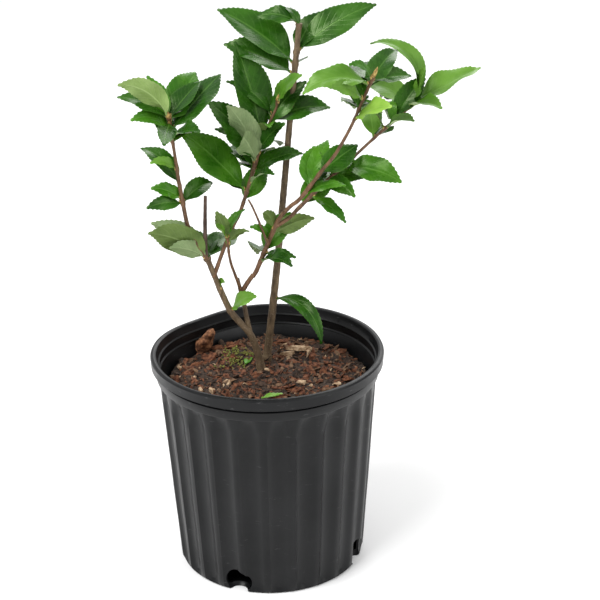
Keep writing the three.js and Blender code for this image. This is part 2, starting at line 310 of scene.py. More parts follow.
# ---------- materials ----------
def leaf_upper(name, dark, light, gloss):
    """The glossy face of a leaf: dappled green, a pale midrib, sunken side veins and a painted highlight
    along its edge.
    """
    material, s, sockets = new_material(name, Specular_IOR_Level=0.38, Specular_Tint=(0.8, 1, 0.55, 1))
    leaf_map = s.add("ShaderNodeUVMap", uv_map="leaf").outputs[0]
    veins = place_group(s, VEINS, {"Map": leaf_map})
    green = place_group(s, MOTTLE, {
        "Place": object_place(s), "Dark": dark, "Light": light, "Grain": 45.0, "Contrast": 0.2,
    })
    rib = [min(1.0, 0.6 * channel + shift) for channel, shift in zip(light[:3], (0.07, 0.14, 0.03))] + [1]
    # A little paler along the veins, and more along the edge, where the paling is a painted highlight.
    pale = s.math("ADD", s.math("MULTIPLY", veins["Veins"], 0.1), s.math("MULTIPLY", veins["EdgeHighlight"], 0.3))
    veined = s.mix(pale, green["Color"], rib)
    s.feed(sockets["Base Color"], s.mix(s.math("MULTIPLY", veins["Midrib"], 0.5), veined, rib))
    s.feed(sockets["Roughness"], s.span(green["Height"], 0.2, 0.8, gloss, gloss + 0.14))
    sunk = s.math("MULTIPLY", s.math("ADD", veins["Veins"], s.math("MULTIPLY", veins["Midrib"], 2.0)), -1.0)
    relief = s.math("ADD", sunk, s.math("MULTIPLY", green["Height"], 0.9))
    s.feed(sockets["Normal"], s.bump(relief, 0.16, 0.0004))
    return material


def leaf_under(name, dark, light):
    """The paler, matt face, where the midrib and veins stand proud."""
    material, s, sockets = new_material(name, Specular_IOR_Level=0.35)
    leaf_map = s.add("ShaderNodeUVMap", uv_map="leaf").outputs[0]
    veins = place_group(s, VEINS, {"Map": leaf_map})
    green = place_group(s, MOTTLE, {
        "Place": object_place(s), "Dark": dark, "Light": light, "Grain": 70.0, "Contrast": 0.25,
    })
    pale = [min(1.0, channel * 1.25 + 0.03) for channel in light[:3]] + [1]
    share = s.math("MAXIMUM", s.math("MULTIPLY", veins["Veins"], 0.3), veins["Midrib"])
    s.feed(sockets["Base Color"], s.mix(s.math("MULTIPLY", share, 0.6), green["Color"], pale))
    s.feed(sockets["Roughness"], s.span(green["Height"], 0.2, 0.8, 0.5, 0.62))
    relief = s.math("ADD", s.math("ADD", veins["Veins"], veins["Midrib"]), green["Height"])
    s.feed(sockets["Normal"], s.bump(relief, 0.5, 0.0004))
    return material


def bark(name, dark, light, rough):
    """Thin bark with fine cracks that run along the limb."""
    material, s, sockets = new_material(name, Specular_IOR_Level=0.3)
    place = object_place(s)
    along = s.stretched(place, (1.0, 1.0, 0.35))
    tone = place_group(s, MOTTLE, {
        "Place": along, "Dark": dark, "Light": light, "Grain": 300.0, "Contrast": 0.3,
    })
    flecks = s.span(s.noise(place, 900.0, detail=2.0), 0.62, 0.7)
    pale = [min(1.0, channel * 1.5 + 0.06) for channel in light[:3]] + [1]
    s.feed(sockets["Base Color"], s.mix(s.math("MULTIPLY", flecks, 0.5), tone["Color"], pale))
    s.feed(sockets["Roughness"], s.span(tone["Height"], 0.2, 0.8, rough - 0.1, rough + 0.05))
    s.feed(sockets["Normal"], s.bump(tone["Height"], 0.8, 0.0005))
    return material


def pot_plastic():
    """Satin black polythene, with a paler bloom and fine scuffs towards the rim."""
    material, s, sockets = new_material("pot_black_plastic", Specular_IOR_Level=0.22)
    place = object_place(s)
    tone = place_group(s, MOTTLE, {
        "Place": place, "Dark": (0.004, 0.0043, 0.0048, 1), "Light": (0.01, 0.0103, 0.011, 1),
        "Grain": 22.0, "Contrast": 0.2,
    })
    height = s.add("ShaderNodeSeparateXYZ", {0: place}).outputs[2]
    near_rim = s.span(height, (POT_HEIGHT - 30) * MM, POT_HEIGHT * MM, 0.25, 1.0)
    streaks = s.noise(s.stretched(place, (1.0, 1.0, 6.0)), 90.0, detail=6.0, roughness=0.7)
    scuff = s.math("MULTIPLY", s.span(streaks, 0.62, 0.72), near_rim)
    s.feed(sockets["Base Color"], s.mix(s.math("MULTIPLY", scuff, 0.5), tone["Color"], (0.22, 0.22, 0.22, 1)))
    s.feed(sockets["Roughness"], s.math("ADD", s.span(tone["Height"], 0.2, 0.8, 0.28, 0.4),
                                        s.math("MULTIPLY", scuff, 0.2)))
    s.feed(sockets["Normal"], s.bump(tone["Height"], 0.25, 0.0004))
    return material


def loose(name, dark, light, grain=350.0, rough=0.85):
    """A matt, dappled finish for bark chips, moss and crumbs of soil."""
    material, s, sockets = new_material(name, Specular_IOR_Level=0.25)
    tone = place_group(s, MOTTLE, {
        "Place": object_place(s), "Dark": dark, "Light": light, "Grain": grain, "Contrast": 0.14,
    })
    s.feed(sockets["Base Color"], tone["Color"])
    s.feed(sockets["Roughness"], s.span(tone["Height"], 0.2, 0.8, rough - 0.12, rough + 0.08))
    s.feed(sockets["Normal"], s.bump(tone["Height"], 0.9, 0.0006))
    return material


UPPERS = {
    "deep": leaf_upper("leaf_upper_deep", (0.006, 0.042, 0.0015, 1), (0.025, 0.1, 0.005, 1), 0.2),
    "green": leaf_upper("leaf_upper_green", (0.02, 0.1, 0.003, 1), (0.065, 0.2, 0.011, 1), 0.22),
    "fresh": leaf_upper("leaf_upper_fresh", (0.06, 0.165, 0.012, 1), (0.12, 0.26, 0.032, 1), 0.26),
    "young": leaf_upper("leaf_upper_young", (0.16, 0.33, 0.03, 1), (0.27, 0.45, 0.07, 1), 0.34),
}
UNDERS = {
    "deep": leaf_under("leaf_under_deep", (0.14, 0.21, 0.08, 1), (0.25, 0.33, 0.15, 1)),
    "green": leaf_under("leaf_under_green", (0.065, 0.115, 0.016, 1), (0.13, 0.2, 0.045, 1)),
    "fresh": leaf_under("leaf_under_fresh", (0.15, 0.24, 0.05, 1), (0.26, 0.37, 0.12, 1)),
    "young": leaf_under("leaf_under_young", (0.2, 0.36, 0.035, 1), (0.31, 0.47, 0.08, 1)),
}
OLD_BARK = bark("bark_grey_brown", (0.05, 0.032, 0.018, 1), (0.2, 0.14, 0.08, 1), 0.66)
RED_BARK = bark("bark_red_brown", (0.05, 0.024, 0.011, 1), (0.19, 0.1, 0.05, 1), 0.5)
DEAD_BARK = bark("bark_dead", (0.035, 0.02, 0.016, 1), (0.14, 0.09, 0.07, 1), 0.85)
POT_PLASTIC = pot_plastic()
CHIP_FINISHES = [
    (0.3, loose("chip_dark", (0.018, 0.011, 0.008, 1), (0.07, 0.042, 0.028, 1))),
    (0.46, loose("chip_red_brown", (0.06, 0.02, 0.01, 1), (0.19, 0.075, 0.036, 1))),
    (0.2, loose("chip_brown", (0.08, 0.04, 0.022, 1), (0.2, 0.12, 0.07, 1))),
    (0.03, loose("chip_tan", (0.26, 0.16, 0.09, 1), (0.5, 0.36, 0.23, 1))),
]
SOIL = loose("soil_dark", (0.012, 0.008, 0.006, 1), (0.06, 0.038, 0.026, 1), grain=500.0)
MOSS = loose("moss_green", (0.08, 0.085, 0.015, 1), (0.24, 0.24, 0.06, 1), grain=700.0)
CHUNK = loose("bark_chunk", (0.07, 0.027, 0.013, 1), (0.29, 0.13, 0.062, 1), grain=260.0)
BUD = loose("bud_scales", (0.2, 0.1, 0.03, 1), (0.5, 0.36, 0.12, 1), grain=600.0, rough=0.6)


# ---------- the pot ----------
def ring_to(radius, height, now):
    """Extrudes the chosen ring or face to a new radius and height. The place now is (radius, height)."""
    bpy.ops.mesh.extrude_region_move(TRANSFORM_OT_translate={"value": (0, 0, (height - now[1]) * MM)})
    factor = radius / now[0]
    bpy.ops.transform.resize(value=(factor, factor, 1), center_override=(0, 0, height * MM))
    return radius, height


def wall_radius(height):
    return BASE_RADIUS + (WALL_TOP_RADIUS - BASE_RADIUS) * height / (POT_HEIGHT - RIM_BAND)


def pot_profile():
    """The pot's outline from the foot up the outside, over the rim and down the inside to the floor."""
    rim_low = POT_HEIGHT - RIM_BAND
    outline = [(BASE_RADIUS - 1, 0.8), (BASE_RADIUS + 0.1, 3)]
    levels = 24
    for level in range(1, levels + 1):
        height = 3 + (COLLAR_BOTTOM - 3.4) * level / levels
        outline.append((wall_radius(height), height))
    outline += [
        (COLLAR_RADIUS - 0.4, COLLAR_BOTTOM), (COLLAR_RADIUS, COLLAR_BOTTOM + 0.6),
        (COLLAR_RADIUS + 0.3, rim_low - 2.6), (COLLAR_RADIUS - 1.4, rim_low - 1.5),
        (COLLAR_RADIUS - 1.4, rim_low - 0.7),
        (RIM_RADIUS - 1.6, rim_low), (RIM_RADIUS - 0.5, rim_low + 0.7),
        (RIM_RADIUS - 0.3, POT_HEIGHT - 3.2), (RIM_RADIUS - 0.1, POT_HEIGHT - 1.6),
        (RIM_RADIUS - 0.7, POT_HEIGHT - 0.5), (RIM_RADIUS - 1.8, POT_HEIGHT),
        (RIM_RADIUS - 3.2, POT_HEIGHT - 0.1), (RIM_RADIUS - 4.2, POT_HEIGHT - 0.8),
        (RIM_RADIUS - 4.7, POT_HEIGHT - 3),
    ]
    for ridge in (POT_HEIGHT - 7, POT_HEIGHT - 14):
        inside = wall_radius(ridge) - WALL + 1.2
        outline += [(inside, ridge + 0.8), (inside - 1, ridge), (inside, ridge - 0.9)]
    outline += [(wall_radius(h) - WALL - 2, h) for h in (SOIL_EDGE, 60, FLOOR_THICKNESS + 1)]
    outline.append((BASE_RADIUS - WALL - 4, FLOOR_THICKNESS))
    return outline


def flattening(place):
    """How far the pot's thin wall is pressed in at a place, in millimetres: most at the rim of one side."""
    bearing = math.degrees(math.atan2(place[1], place[0]))
    reach = max(0.0, min(1.0, (place[2] / MM - FLAT_FOOT) / (POT_HEIGHT - FLAT_FOOT)))
    return FLAT_DEPTH * reach * math.exp(-((bearing - FLAT_BEARING) / FLAT_SPREAD) ** 2)


def press_side(piece):
    """Presses a piece in where the pot's wall is pressed in."""
    group = piece.vertex_groups.new(name="pressed_side")
    for point in piece.data.vertices:
        group.add([point.index], flattening(point.co) / FLAT_DEPTH, "REPLACE")
    for axis, share in zip("XY", heading(FLAT_BEARING, 0)):
        press = piece.modifiers.new("Side_" + axis, "DISPLACE")
        press.direction = axis
        press.vertex_group = "pressed_side"
        press.mid_level = 0
        press.strength = -FLAT_DEPTH * share * MM


def build_pot():
    """The pot, drawn up ring by ring from its foot, then fluted, pressed in and cut with drain holes."""
    deselect()
    now = (BASE_RADIUS - 3, 0)
    bpy.ops.mesh.primitive_circle_add(
        vertices=FLUTES * STEPS_PER_FLUTE, radius=now[0] * MM, fill_type="NGON", location=(0, 0, 0))
    pot = named("nursery_pot")
    only(pot)
    bpy.ops.object.mode_set(mode="EDIT")
    bpy.ops.mesh.select_all(action="SELECT")
    for radius, height in pot_profile():
        now = ring_to(radius, height, now)
    bpy.ops.mesh.select_all(action="SELECT")
    bpy.ops.mesh.normals_make_consistent(inside=False)
    bpy.ops.object.mode_set(mode="OBJECT")

    flutes = pot.vertex_groups.new(name="flutes")
    for point in pot.data.vertices:
        height, radius = point.co.z / MM, point.co.xy.length / MM
        if radius < wall_radius(height) - 0.6 or not 2 < height < COLLAR_BOTTOM - 0.2:
            continue
        bearing = math.degrees(math.atan2(point.co.y, point.co.x))
        turn = ((bearing - FLUTE_PHASE) / (360 / FLUTES) + 0.5) % 1 - 0.5
        width = 0.36 * math.sqrt(max(0.0, min(1.0, (COLLAR_BOTTOM - 1.5 - height) / 9)))
        if width > 0:
            dip = max(0.0, 1 - (turn / max(width, 0.05)) ** 2)
            flutes.add([point.index], min(1.0, dip ** 0.6), "REPLACE")
    press = pot.modifiers.new("Flutes", "DISPLACE")
    press.vertex_group = "flutes"
    press.mid_level = 0
    press.strength = -FLUTE_DEPTH * MM
    press_side(pot)
    sway = bpy.data.textures.new("wall_sway", "CLOUDS")
    sway.noise_scale = 0.07
    wobble = pot.modifiers.new("Sway", "DISPLACE")
    wobble.texture = sway
    wobble.texture_coords = "LOCAL"
    wobble.strength = 0.9 * MM
    apply_all(pot)

    for bearing in DRAIN_BEARINGS:
        deselect()
        place = heading(bearing, 0) * (BASE_RADIUS - DRAIN_INSET) + Vector((0, 0, DRAIN_CENTRE))
        bpy.ops.mesh.primitive_uv_sphere_add(
            segments=32, ring_count=16, radius=DRAIN_RADIUS * MM, location=place * MM)
        cutter = named("drain_cutter")
        only(pot)
        cut = pot.modifiers.new("Drain", "BOOLEAN")
        cut.object = cutter
        cut.operation = "DIFFERENCE"
        apply_all(pot)
        bpy.data.objects.remove(cutter)
    smooth(pot, 32)
    pot.data.materials.append(POT_PLASTIC)
    finish_piece(pot, "pot_plastic", "pot")


# ---------- the potting mix ----------
def soil_height(x, y):
    """The soil's level at a place, all in millimetres: a low mound with dips and humps."""
    mound = SOIL_EDGE + (SOIL_TOP - SOIL_EDGE) * (1 - (x * x + y * y) / MIX_RADIUS ** 2)
    return mound + 1.5 * math.sin(x / 9 + 1) * math.cos(y / 11) + 0.8 * math.sin(x / 4 + y / 5)


def build_soil():
    """The body of the mix: a cone whose top is cut into rings and raised into humps."""
    deselect()
    depth = 30
    foot = wall_radius(SOIL_EDGE - depth) - WALL - 4
    bpy.ops.mesh.primitive_cone_add(
        vertices=96, radius1=foot * MM, radius2=MIX_RADIUS * MM, depth=depth * MM,
        location=(0, 0, (SOIL_EDGE - SOIL_DIP - depth / 2) * MM))
    soil = named("soil")
    edit_faces(soil, lambda centre, normal: normal.z > 0.9)
    rings = 26
    for _ in range(rings):
        bpy.ops.mesh.inset(thickness=(MIX_RADIUS - 2) / rings * MM)
    bpy.ops.object.mode_set(mode="OBJECT")
    humps = soil.vertex_groups.new(name="humps")
    for point in soil.data.vertices:
        if point.co.z > (SOIL_EDGE - SOIL_DIP - 1) * MM:
            lift = soil_height(point.co.x / MM, point.co.y / MM) + rng.uniform(-1, 0.6) - SOIL_EDGE + SOIL_DIP
            humps.add([point.index], lift / SOIL_RANGE, "REPLACE")
    rise = soil.modifiers.new("Humps", "DISPLACE")
    rise.direction = "Z"
    rise.vertex_group = "humps"
    rise.mid_level = 0
    rise.strength = SOIL_RANGE * MM
    press_side(soil)
    apply_all(soil)
    smooth(soil, 35)
    soil.data.materials.append(SOIL)
    finish_piece(soil, "potting_mix", "potting_mix")


class Pile:
    """Points and faces of many small solids, gathered for one joined mesh."""

    def __init__(self):
        self.points, self.faces, self.finishes = [], [], []

    def add(self, points, faces, finish=0):
        first = len(self.points)
        self.points += [tuple(p) for p in points]
        self.faces += [tuple(first + i for i in face) for face in faces]
        self.finishes += [finish] * len(faces)

    def mesh(self, name, materials):
        return joined_mesh(name, self.points, self.faces, materials, self.finishes)


def chip(pile, centre, length, width, thick, finish, tilt=25, sides=6):
    """A flake with an uneven outline, smaller on top, lying at a random tilt."""
    turn = Matrix.Rotation(rng.uniform(0, math.tau), 3, "Z")
    lean = Matrix.Rotation(math.radians(rng.gauss(0, tilt)), 3, "X")
    lean = lean @ Matrix.Rotation(math.radians(rng.gauss(0, tilt)), 3, "Y")
    points = []
    for height, spread in ((-0.5, 1.0), (0.5, 0.78)):
        for side in range(sides):
            angle = math.tau * (side + rng.uniform(-0.25, 0.25)) / sides
            reach = rng.uniform(0.72, 1.12) * spread
            local = Vector((math.cos(angle) * length / 2 * reach, math.sin(angle) * width / 2 * reach,
                            (height + rng.uniform(-0.2, 0.2)) * thick))
            points.append((Vector(centre) + turn @ lean @ local) * MM)
    faces = [tuple(reversed(range(sides))), tuple(range(sides, 2 * sides))]
    for side in range(sides):
        after = (side + 1) % sides
        faces.append((side, after, sides + after, sides + side))
    pile.add(points, faces, finish)


# Pale strips of bark on top of the mix: place across and back, length and width.
STRIPS = ((23, 36, 26, 5), (14, 30, 17, 4), (30, 28, 15, 3), (25, -24, 8, 6), (-40, -30, 9, 4))


def build_chips():
    """Bark chips strewn over the soil, dealt out in four finishes, and the pale strips."""
    pile = Pile()
    shares = [share for share, _ in CHIP_FINISHES]
    for _ in range(CHIPS):
        angle = rng.uniform(0, math.tau)
        rim = (math.cos(angle), math.sin(angle), SOIL_EDGE * MM)
        radius = (MIX_RADIUS - 1 - flattening(rim)) * math.sqrt(rng.random())
        x, y = radius * math.cos(angle), radius * math.sin(angle)
        length = min(15.0, rng.lognormvariate(1.55, 0.55))
        length = min(length, 2 * (MIX_RADIUS - radius) + 3)
        width = length * rng.uniform(0.22, 0.6)
        thick = max(0.5, width * rng.uniform(0.15, 0.32))
        finish = rng.choices(range(len(shares)), shares)[0]
        chip(pile, (x, y, soil_height(x, y) + thick * 0.35), length, width, thick, finish)
    tan = len(CHIP_FINISHES) - 1
    for x, y, length, width in STRIPS:
        chip(pile, (x, y, soil_height(x, y) + 2.5), length, width, 2.5, tan, tilt=6, sides=4)
    chips = pile.mesh("bark_chips", [finish for _, finish in CHIP_FINISHES])
    finish_piece(chips, "potting_mix")


def build_chunk():
    """The big upright piece of bark at the back left."""
    deselect()
    x, y, tall, wide = -47, 46, 13, 4.5
    place = Vector((x, y, soil_height(x, y) + 8)) * MM
    bpy.ops.mesh.primitive_ico_sphere_add(subdivisions=5, radius=1, location=place)
    chunk = bpy.context.object
    chunk.scale = (wide * MM, 2 * wide * MM, tall * MM)
    chunk.rotation_euler = (0.3, 0.45, math.radians(-20))
    chunk = named("bark_chunk")
    for kind, scale, strength in (("VORONOI", 0.009, 4), ("CLOUDS", 0.004, 3)):
        texture = bpy.data.textures.new("chunk_grain", kind)
        texture.noise_scale = scale
        push = chunk.modifiers.new("Crumble", "DISPLACE")
        push.texture = texture
        push.texture_coords = "LOCAL"
        push.strength = strength * MM
    apply_all(chunk)
    smooth(chunk, 35)
    chunk.data.materials.append(CHUNK)
    finish_piece(chunk, "potting_mix")


# Tufts of moss: place across and back, spread, and how many scraps.
TUFTS = ((-22, 22, 11, 70), (-28, 34, 9, 50), (-12, 27, 7, 30), (-30, 14, 8, 20))


def build_moss():
    """Moss in loose tufts, as small scraps tilted every way."""
    pile = Pile()
    for x, y, spread, count in TUFTS:
        for _ in range(count):
            px, py = rng.gauss(x, spread / 2), rng.gauss(y, spread / 2)
            size = rng.uniform(1.2, 2.8)
            place = (px, py, soil_height(px, py) + rng.uniform(0.8, 2.6))
            chip(pile, place, size, size * 0.6, 0.9, 0, tilt=50)
    finish_piece(pile.mesh("moss", [MOSS]), "potting_mix")


# ---------- the wood ----------
def heading(bearing, rise):
    """The direction at a bearing, counted left from +X, that rises by so many degrees."""
    turn, lift = math.radians(bearing), math.radians(rise)
    return Vector((math.cos(turn) * math.cos(lift), math.sin(turn) * math.cos(lift), math.sin(lift)))


def centre_line(node, trim=2.6, steps=5):
    """Points up the middle of a CAD limb, in millimetres, from level cuts through its mesh."""
    mesh = frame["nodes"][node].data
    low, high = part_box(node)
    line = []
    for step in range(steps):
        level = low.z + trim * MM + (high.z - low.z - 2 * trim * MM) * step / (steps - 1)
        cuts = []
        for edge in mesh.edges:
            a, b = (mesh.vertices[i].co for i in edge.vertices)
            if (a.z - level) * (b.z - level) < 0:
                cuts.append(a.lerp(b, (level - a.z) / (b.z - a.z)))
        middle = [(min(c[k] for c in cuts) + max(c[k] for c in cuts)) / 2 for k in range(3)]
        line.append(Vector(middle) / MM)
    return line


def smooth_line(knots, pitch=2.0):
    """An even line of points that passes smoothly through the knots."""
    line = []
    ends = [2 * knots[0] - knots[1]] + knots + [2 * knots[-1] - knots[-2]]
    for i in range(1, len(ends) - 2):
        a, b, c, d = ends[i - 1:i + 3]
        steps = max(1, round((c - b).length / pitch))
        for k in range(steps):
            t = k / steps
            line.append(0.5 * (2 * b + (c - a) * t + (2 * a - 5 * b + 4 * c - d) * t * t
                               + (3 * b - a - 3 * c + d) * t ** 3))
    line.append(knots[-1])
    return line


class Run:
    """A run of wood from a foot to a tip: its line, its thickness, and places for leaves along it."""

    def __init__(self, name, nodes, foot, tip, sink=3, extension=None, flare=0.0):
        self.name, self.nodes, self.foot, self.tip, self.flare = name, nodes, foot, tip, flare
        knots = [point for node in nodes for point in centre_line(node)]
        start = (knots[0] - knots[1]).normalized()
        knots.insert(0, knots[0] + start * sink)
        if extension:
            bearing, rise, length = extension
            onward = (knots[-1] - knots[-2]).normalized()
            for share in (0.35, 0.7, 1.0):
                way = onward.lerp(heading(bearing, rise), min(1.0, share * 1.4)).normalized()
                knots.append(knots[-1] + way * length * 0.33)
        else:
            knots.append(knots[-1] + (knots[-1] - knots[-2]).normalized() * 2.4)
        self.line = smooth_line(knots)
        self.joints = []

    def at(self, height):
        """The point of the line nearest to a height."""
        return min(self.line, key=lambda point: abs(point.z - height)).copy()

    def nearest(self, place):
        """The point of the line nearest to a place, and the line's direction there."""
        index = min(range(1, len(self.line)), key=lambda i: (self.line[i] - place).length_squared)
        return self.line[index].copy(), (self.line[index] - self.line[index - 1]).normalized()

    def radius(self, index):
        share = index / (len(self.line) - 1)
        size = self.foot + (self.tip - self.foot) * share
        size += self.flare * math.exp(-index / 2.5)
        height = self.line[index].z
        for joint in self.joints:
            size += 0.28 * math.exp(-((height - joint) / 1.6) ** 2)
        return size * (1 + 0.05 * math.sin(index * 1.7) * math.sin(index * 0.6 + len(self.name)))

    def build(self, slot, finish, relief=0.2):
        """The run as a round curve of changing thickness, made a mesh, with the bark's relief pressed in."""
        deselect()
        bpy.ops.curve.primitive_nurbs_path_add(radius=1, location=(0, 0, 0))
        limb = bpy.context.object
        limb.name = self.name
        curve = limb.data
        curve.splines.clear()
        spline = curve.splines.new("POLY")
        spline.points.add(len(self.line) - 1)
        for index, point in enumerate(self.line):
            spline.points[index].co = (*(point * MM), 1)
            spline.points[index].radius = self.radius(index)
        curve.dimensions = "3D"
        curve.bevel_depth = MM
        curve.bevel_resolution = 5
        curve.use_fill_caps = True
        only(limb)
        bpy.ops.object.convert(target="MESH")
        limb = bpy.context.object
        limb.data.name = self.name
        bpy.ops.object.mode_set(mode="EDIT")
        bpy.ops.mesh.select_all(action="SELECT")
        bpy.ops.mesh.normals_make_consistent(inside=False)
        bpy.ops.object.mode_set(mode="OBJECT")
        for scale, strength in ((0.005, 1.0), (0.0018, 0.6)):
            cracks = bpy.data.textures.new("bark_relief", "CLOUDS")
            cracks.noise_scale = scale
            push = limb.modifiers.new("Bark", "DISPLACE")
            push.texture = cracks
            push.texture_coords = "LOCAL"
            push.strength = relief * strength * MM
        apply_all(limb)
        smooth(limb, 60)
        limb.data.materials.clear()
        limb.data.materials.append(finish)
        finish_piece(limb, slot, *self.nodes)


# name: (CAD nodes, foot and tip radius, sink, extension as bearing, rise and length, flare, slot, bark)
WOOD = {
    "main_wood": (("main_stem",), 2.9, 1.9, 4, None, 1.6, "bark", OLD_BARK),
    "left_wood": (("left_stem", "left_bough"), 2.8, 1.9, 4, None, 1.4, "bark", OLD_BARK),
    "left_top_wood": (("left_shoot", "left_shoot_top"), 1.8, 0.9, 5, (-135, 82, 28), 0,
                      "young_bark", RED_BARK),
    "dead_wood": (("dead_stub",), 1.6, 1.2, 3, None, 0, "bark", DEAD_BARK),
    "middle_wood": (("middle_stem",), 2.0, 1.3, 4, (-170, 80, 12), 0, "bark", OLD_BARK),
    "centre_wood": (("centre_shoot", "centre_shoot_top"), 1.5, 0.9, 6, (0, 80, 6), 0, "young_bark", RED_BARK),
    "left_twig_wood": (("left_twig",), 1.2, 0.8, 3, (-100, 74, 24), 0, "young_bark", RED_BARK),
    "right_wood": (("middle_bough", "right_fork", "inner_bough"), 1.8, 0.9, 4, (-25, 66, 60), 0,
                   "young_bark", RED_BARK),
    "outer_wood": (("outer_bough", "outer_bough_top"), 1.5, 0.8, 6, (18, 36, 52), 0, "young_bark", RED_BARK),
    "link_wood": (("link_twig",), 0.85, 0.7, 3, (170, 60, 5), 0, "young_bark", RED_BARK),
}

# What grows where: the run that carries each mass, and the tints dealt out in turn to its spray,
# to the leaves of its outline and then to those at its joints. A leaf that is "under" shows its
# underside.
SPRAYS = {
    "left_crown_leaves": ("left_top_wood", ("green", "deep", "green", "deep", "deep", "fresh under",
                                            "green")),
    "left_side_leaves": ("left_top_wood", ("deep", "green", "deep", "fresh")),
    "left_low_leaves": ("left_wood", ("deep under", "deep", "green under")),
    "foot_leaves": ("left_wood", ("fresh",)),
    "centre_leaves": ("centre_wood", ("green", "deep", "deep", "deep", "deep under", "deep", "deep")),
    "centre_tip_leaves": ("centre_wood", ("fresh",)),
    "top_leaves": ("main_wood", ("deep",)),
    "strap_leaf": ("main_wood", ("deep",)),
    "inner_leaves": ("left_twig_wood", ("green", "green under", "fresh")),
    "centre_low_leaves": ("right_wood", ("deep", "green", "green under")),
    "right_inner_leaves": ("right_wood", ("green", "deep", "green")),
    "right_crown_leaves": ("right_wood", ("green", "fresh", "deep", "green", "young")),
    "right_low_leaves": ("outer_wood", ("green",)),
    "right_tip_leaves": ("outer_wood", ("fresh", "green", "deep", "fresh", "fresh", "fresh")),
}
GROWTH_SEED = 31
SOURCE_REACH = 7.5     # a mass's surface this near to its run is where leaves set off
SHORTEST_LEAF = 14
SPIKE = 0.7            # how far a tip's neighbours must agree on one side, from 0 to 1
BEND_RANGE = (14, 160)  # the least and the most that a leaf droops from stalk to tip
SURFACE_SLACK = 1.015  # a way over a faceted mass is this much longer than the arc inside it
WIDTH_SHARE = (0.46, 0.06)  # a leaf's width over its length: mean and spread
WIDTH_LIMITS = (0.3, 0.54)
FULL_FOLD = 260        # the droop at which a leaf would be drawn in to no width
WIDEST_LEAF = 28
JOINT_PITCH = 7        # between the joints of a leafy stretch
JOINT_TURN = 137.5     # each joint's leaf sets off about this much further round
JOINT_WANDER = 25
JOINT_LENGTHS = (30, 54)
JOINT_RISES = (25, 75)
JOINT_DROOPS = (20, 60)
TRIES = 5              # draws at a joint for a leaf that stays in its mass's box
LEEWAY = 6             # how far such a leaf's tip may pass the box, except upwards
LIGHT_FROM = (-80, 42)  # the bearing and rise that leaves face
FULL_LENGTH = 33       # a leaf longer than this may have a fellow on the far side
FAR_SHARE = 0.5
FAR_LIMITS = ((62, 118), (0, 22), (34, 50), (16, 22))  # its bearing, rise, length and width
FAR_DROOPS = (30, 55)
FAR_FACING = 0.2
FAR_TINTS = ("deep", "deep", "green")
FOLIAGE_FOOT = 225     # below this height a spray has only the leaves of its outline

# The length of the bud that ends a run.
END_BUDS = {"right_wood": 9, "outer_wood": 6, "left_top_wood": 6, "centre_wood": 6}

# Scraps of leaf on the mix: place across and back, bearing, length, width and tint.
SCRAPS = ((-17, 14, 60, 12, 6, "green"), (-4, -42, 20, 16, 4, "fresh"))

PETIOLE_SHARE = 0.09
PETIOLE_RADIUS = 0.75
TOOTH_PITCH = 2.8
TOOTH_DEPTH = 0.42
TOOTH_LEAN = 0.6
COLUMNS = (-1.0, -0.66, -0.33, 0.0, 0.33, 0.66, 1.0)
BLADE_THICKNESS = 0.45


def surface_net(node):
    """The corners of a CAD solid in millimetres, and the corners that each is joined to."""
    mesh = frame["nodes"][node].data
    spots = {}
    index = []
    for corner in mesh.vertices:
        spot = tuple(round(c / MM, 1) for c in corner.co)
        index.append(spots.setdefault(spot, len(spots)))
    joined = [set() for _ in spots]
    for edge in mesh.edges:
        a, b = (index[i] for i in edge.vertices)
        if a != b:
            joined[a].add(b)
            joined[b].add(a)
    return [Vector(spot) for spot in spots], joined


def reaches(node, run):
    """Each reach of a mass away from its run: where it sets off, its tip, and its length over the surface."""
    places, joined = surface_net(node)
    off = [(run.nearest(place)[0] - place).length for place in places]
    limit = max(SOURCE_REACH, min(off) + 1)
    length = [gap if gap <= limit else math.inf for gap in off]
    source = list(range(len(places)))
    heap = [(gap, i) for i, gap in enumerate(length) if gap < math.inf]
    heapq.heapify(heap)
    while heap:
        gone, i = heapq.heappop(heap)
        if gone > length[i]:
            continue
        for j in sorted(joined[i]):
            onward = gone + (places[j] - places[i]).length
            if onward < length[j]:
                length[j], source[j] = onward, source[i]
                heapq.heappush(heap, (onward, j))
    found = []
    for i, gone in enumerate(length):
        if not SHORTEST_LEAF < gone < math.inf or any(length[j] > gone for j in joined[i]):
            continue
        agreed = sum(((places[j] - places[i]).normalized() for j in joined[i]), Vector()) / len(joined[i])
        if agreed.length > SPIKE:
            found.append((run.nearest(places[source[i]])[0], places[i], gone))
    return sorted(found, key=lambda reach: (reach[0].z, reach[1].z))


def bend_of(chord, arc):
    """The angle in degrees through which an arc of this length turns, over this chord."""
    low, high = 0.0, math.pi
    for _ in range(20):
        half = (low + high) / 2
        if math.sin(half) / half > chord * SURFACE_SLACK / arc:
            low = half
        else:
            high = half
    return min(max(math.degrees(2 * low), BEND_RANGE[0]), BEND_RANGE[1])


def grow_leaf(root, tip, arc):
    """The bearing, rise, length, width and droop of a leaf that bends over from its run to a tip."""
    chord = tip - root
    droop = bend_of(chord.length, arc)
    half = math.radians(droop / 2)
    length = chord.length * half / math.sin(half)
    bearing = math.degrees(math.atan2(chord.y, chord.x))
    rise = math.degrees(math.asin(chord.z / chord.length)) + droop / 2
    return bearing, rise, length, leaf_width(length, droop), droop


def leaf_width(length, droop):
    share = min(max(rng.gauss(*WIDTH_SHARE), WIDTH_LIMITS[0]), WIDTH_LIMITS[1])
    return min(length * share * (1 - droop / FULL_FOLD), WIDEST_LEAF)


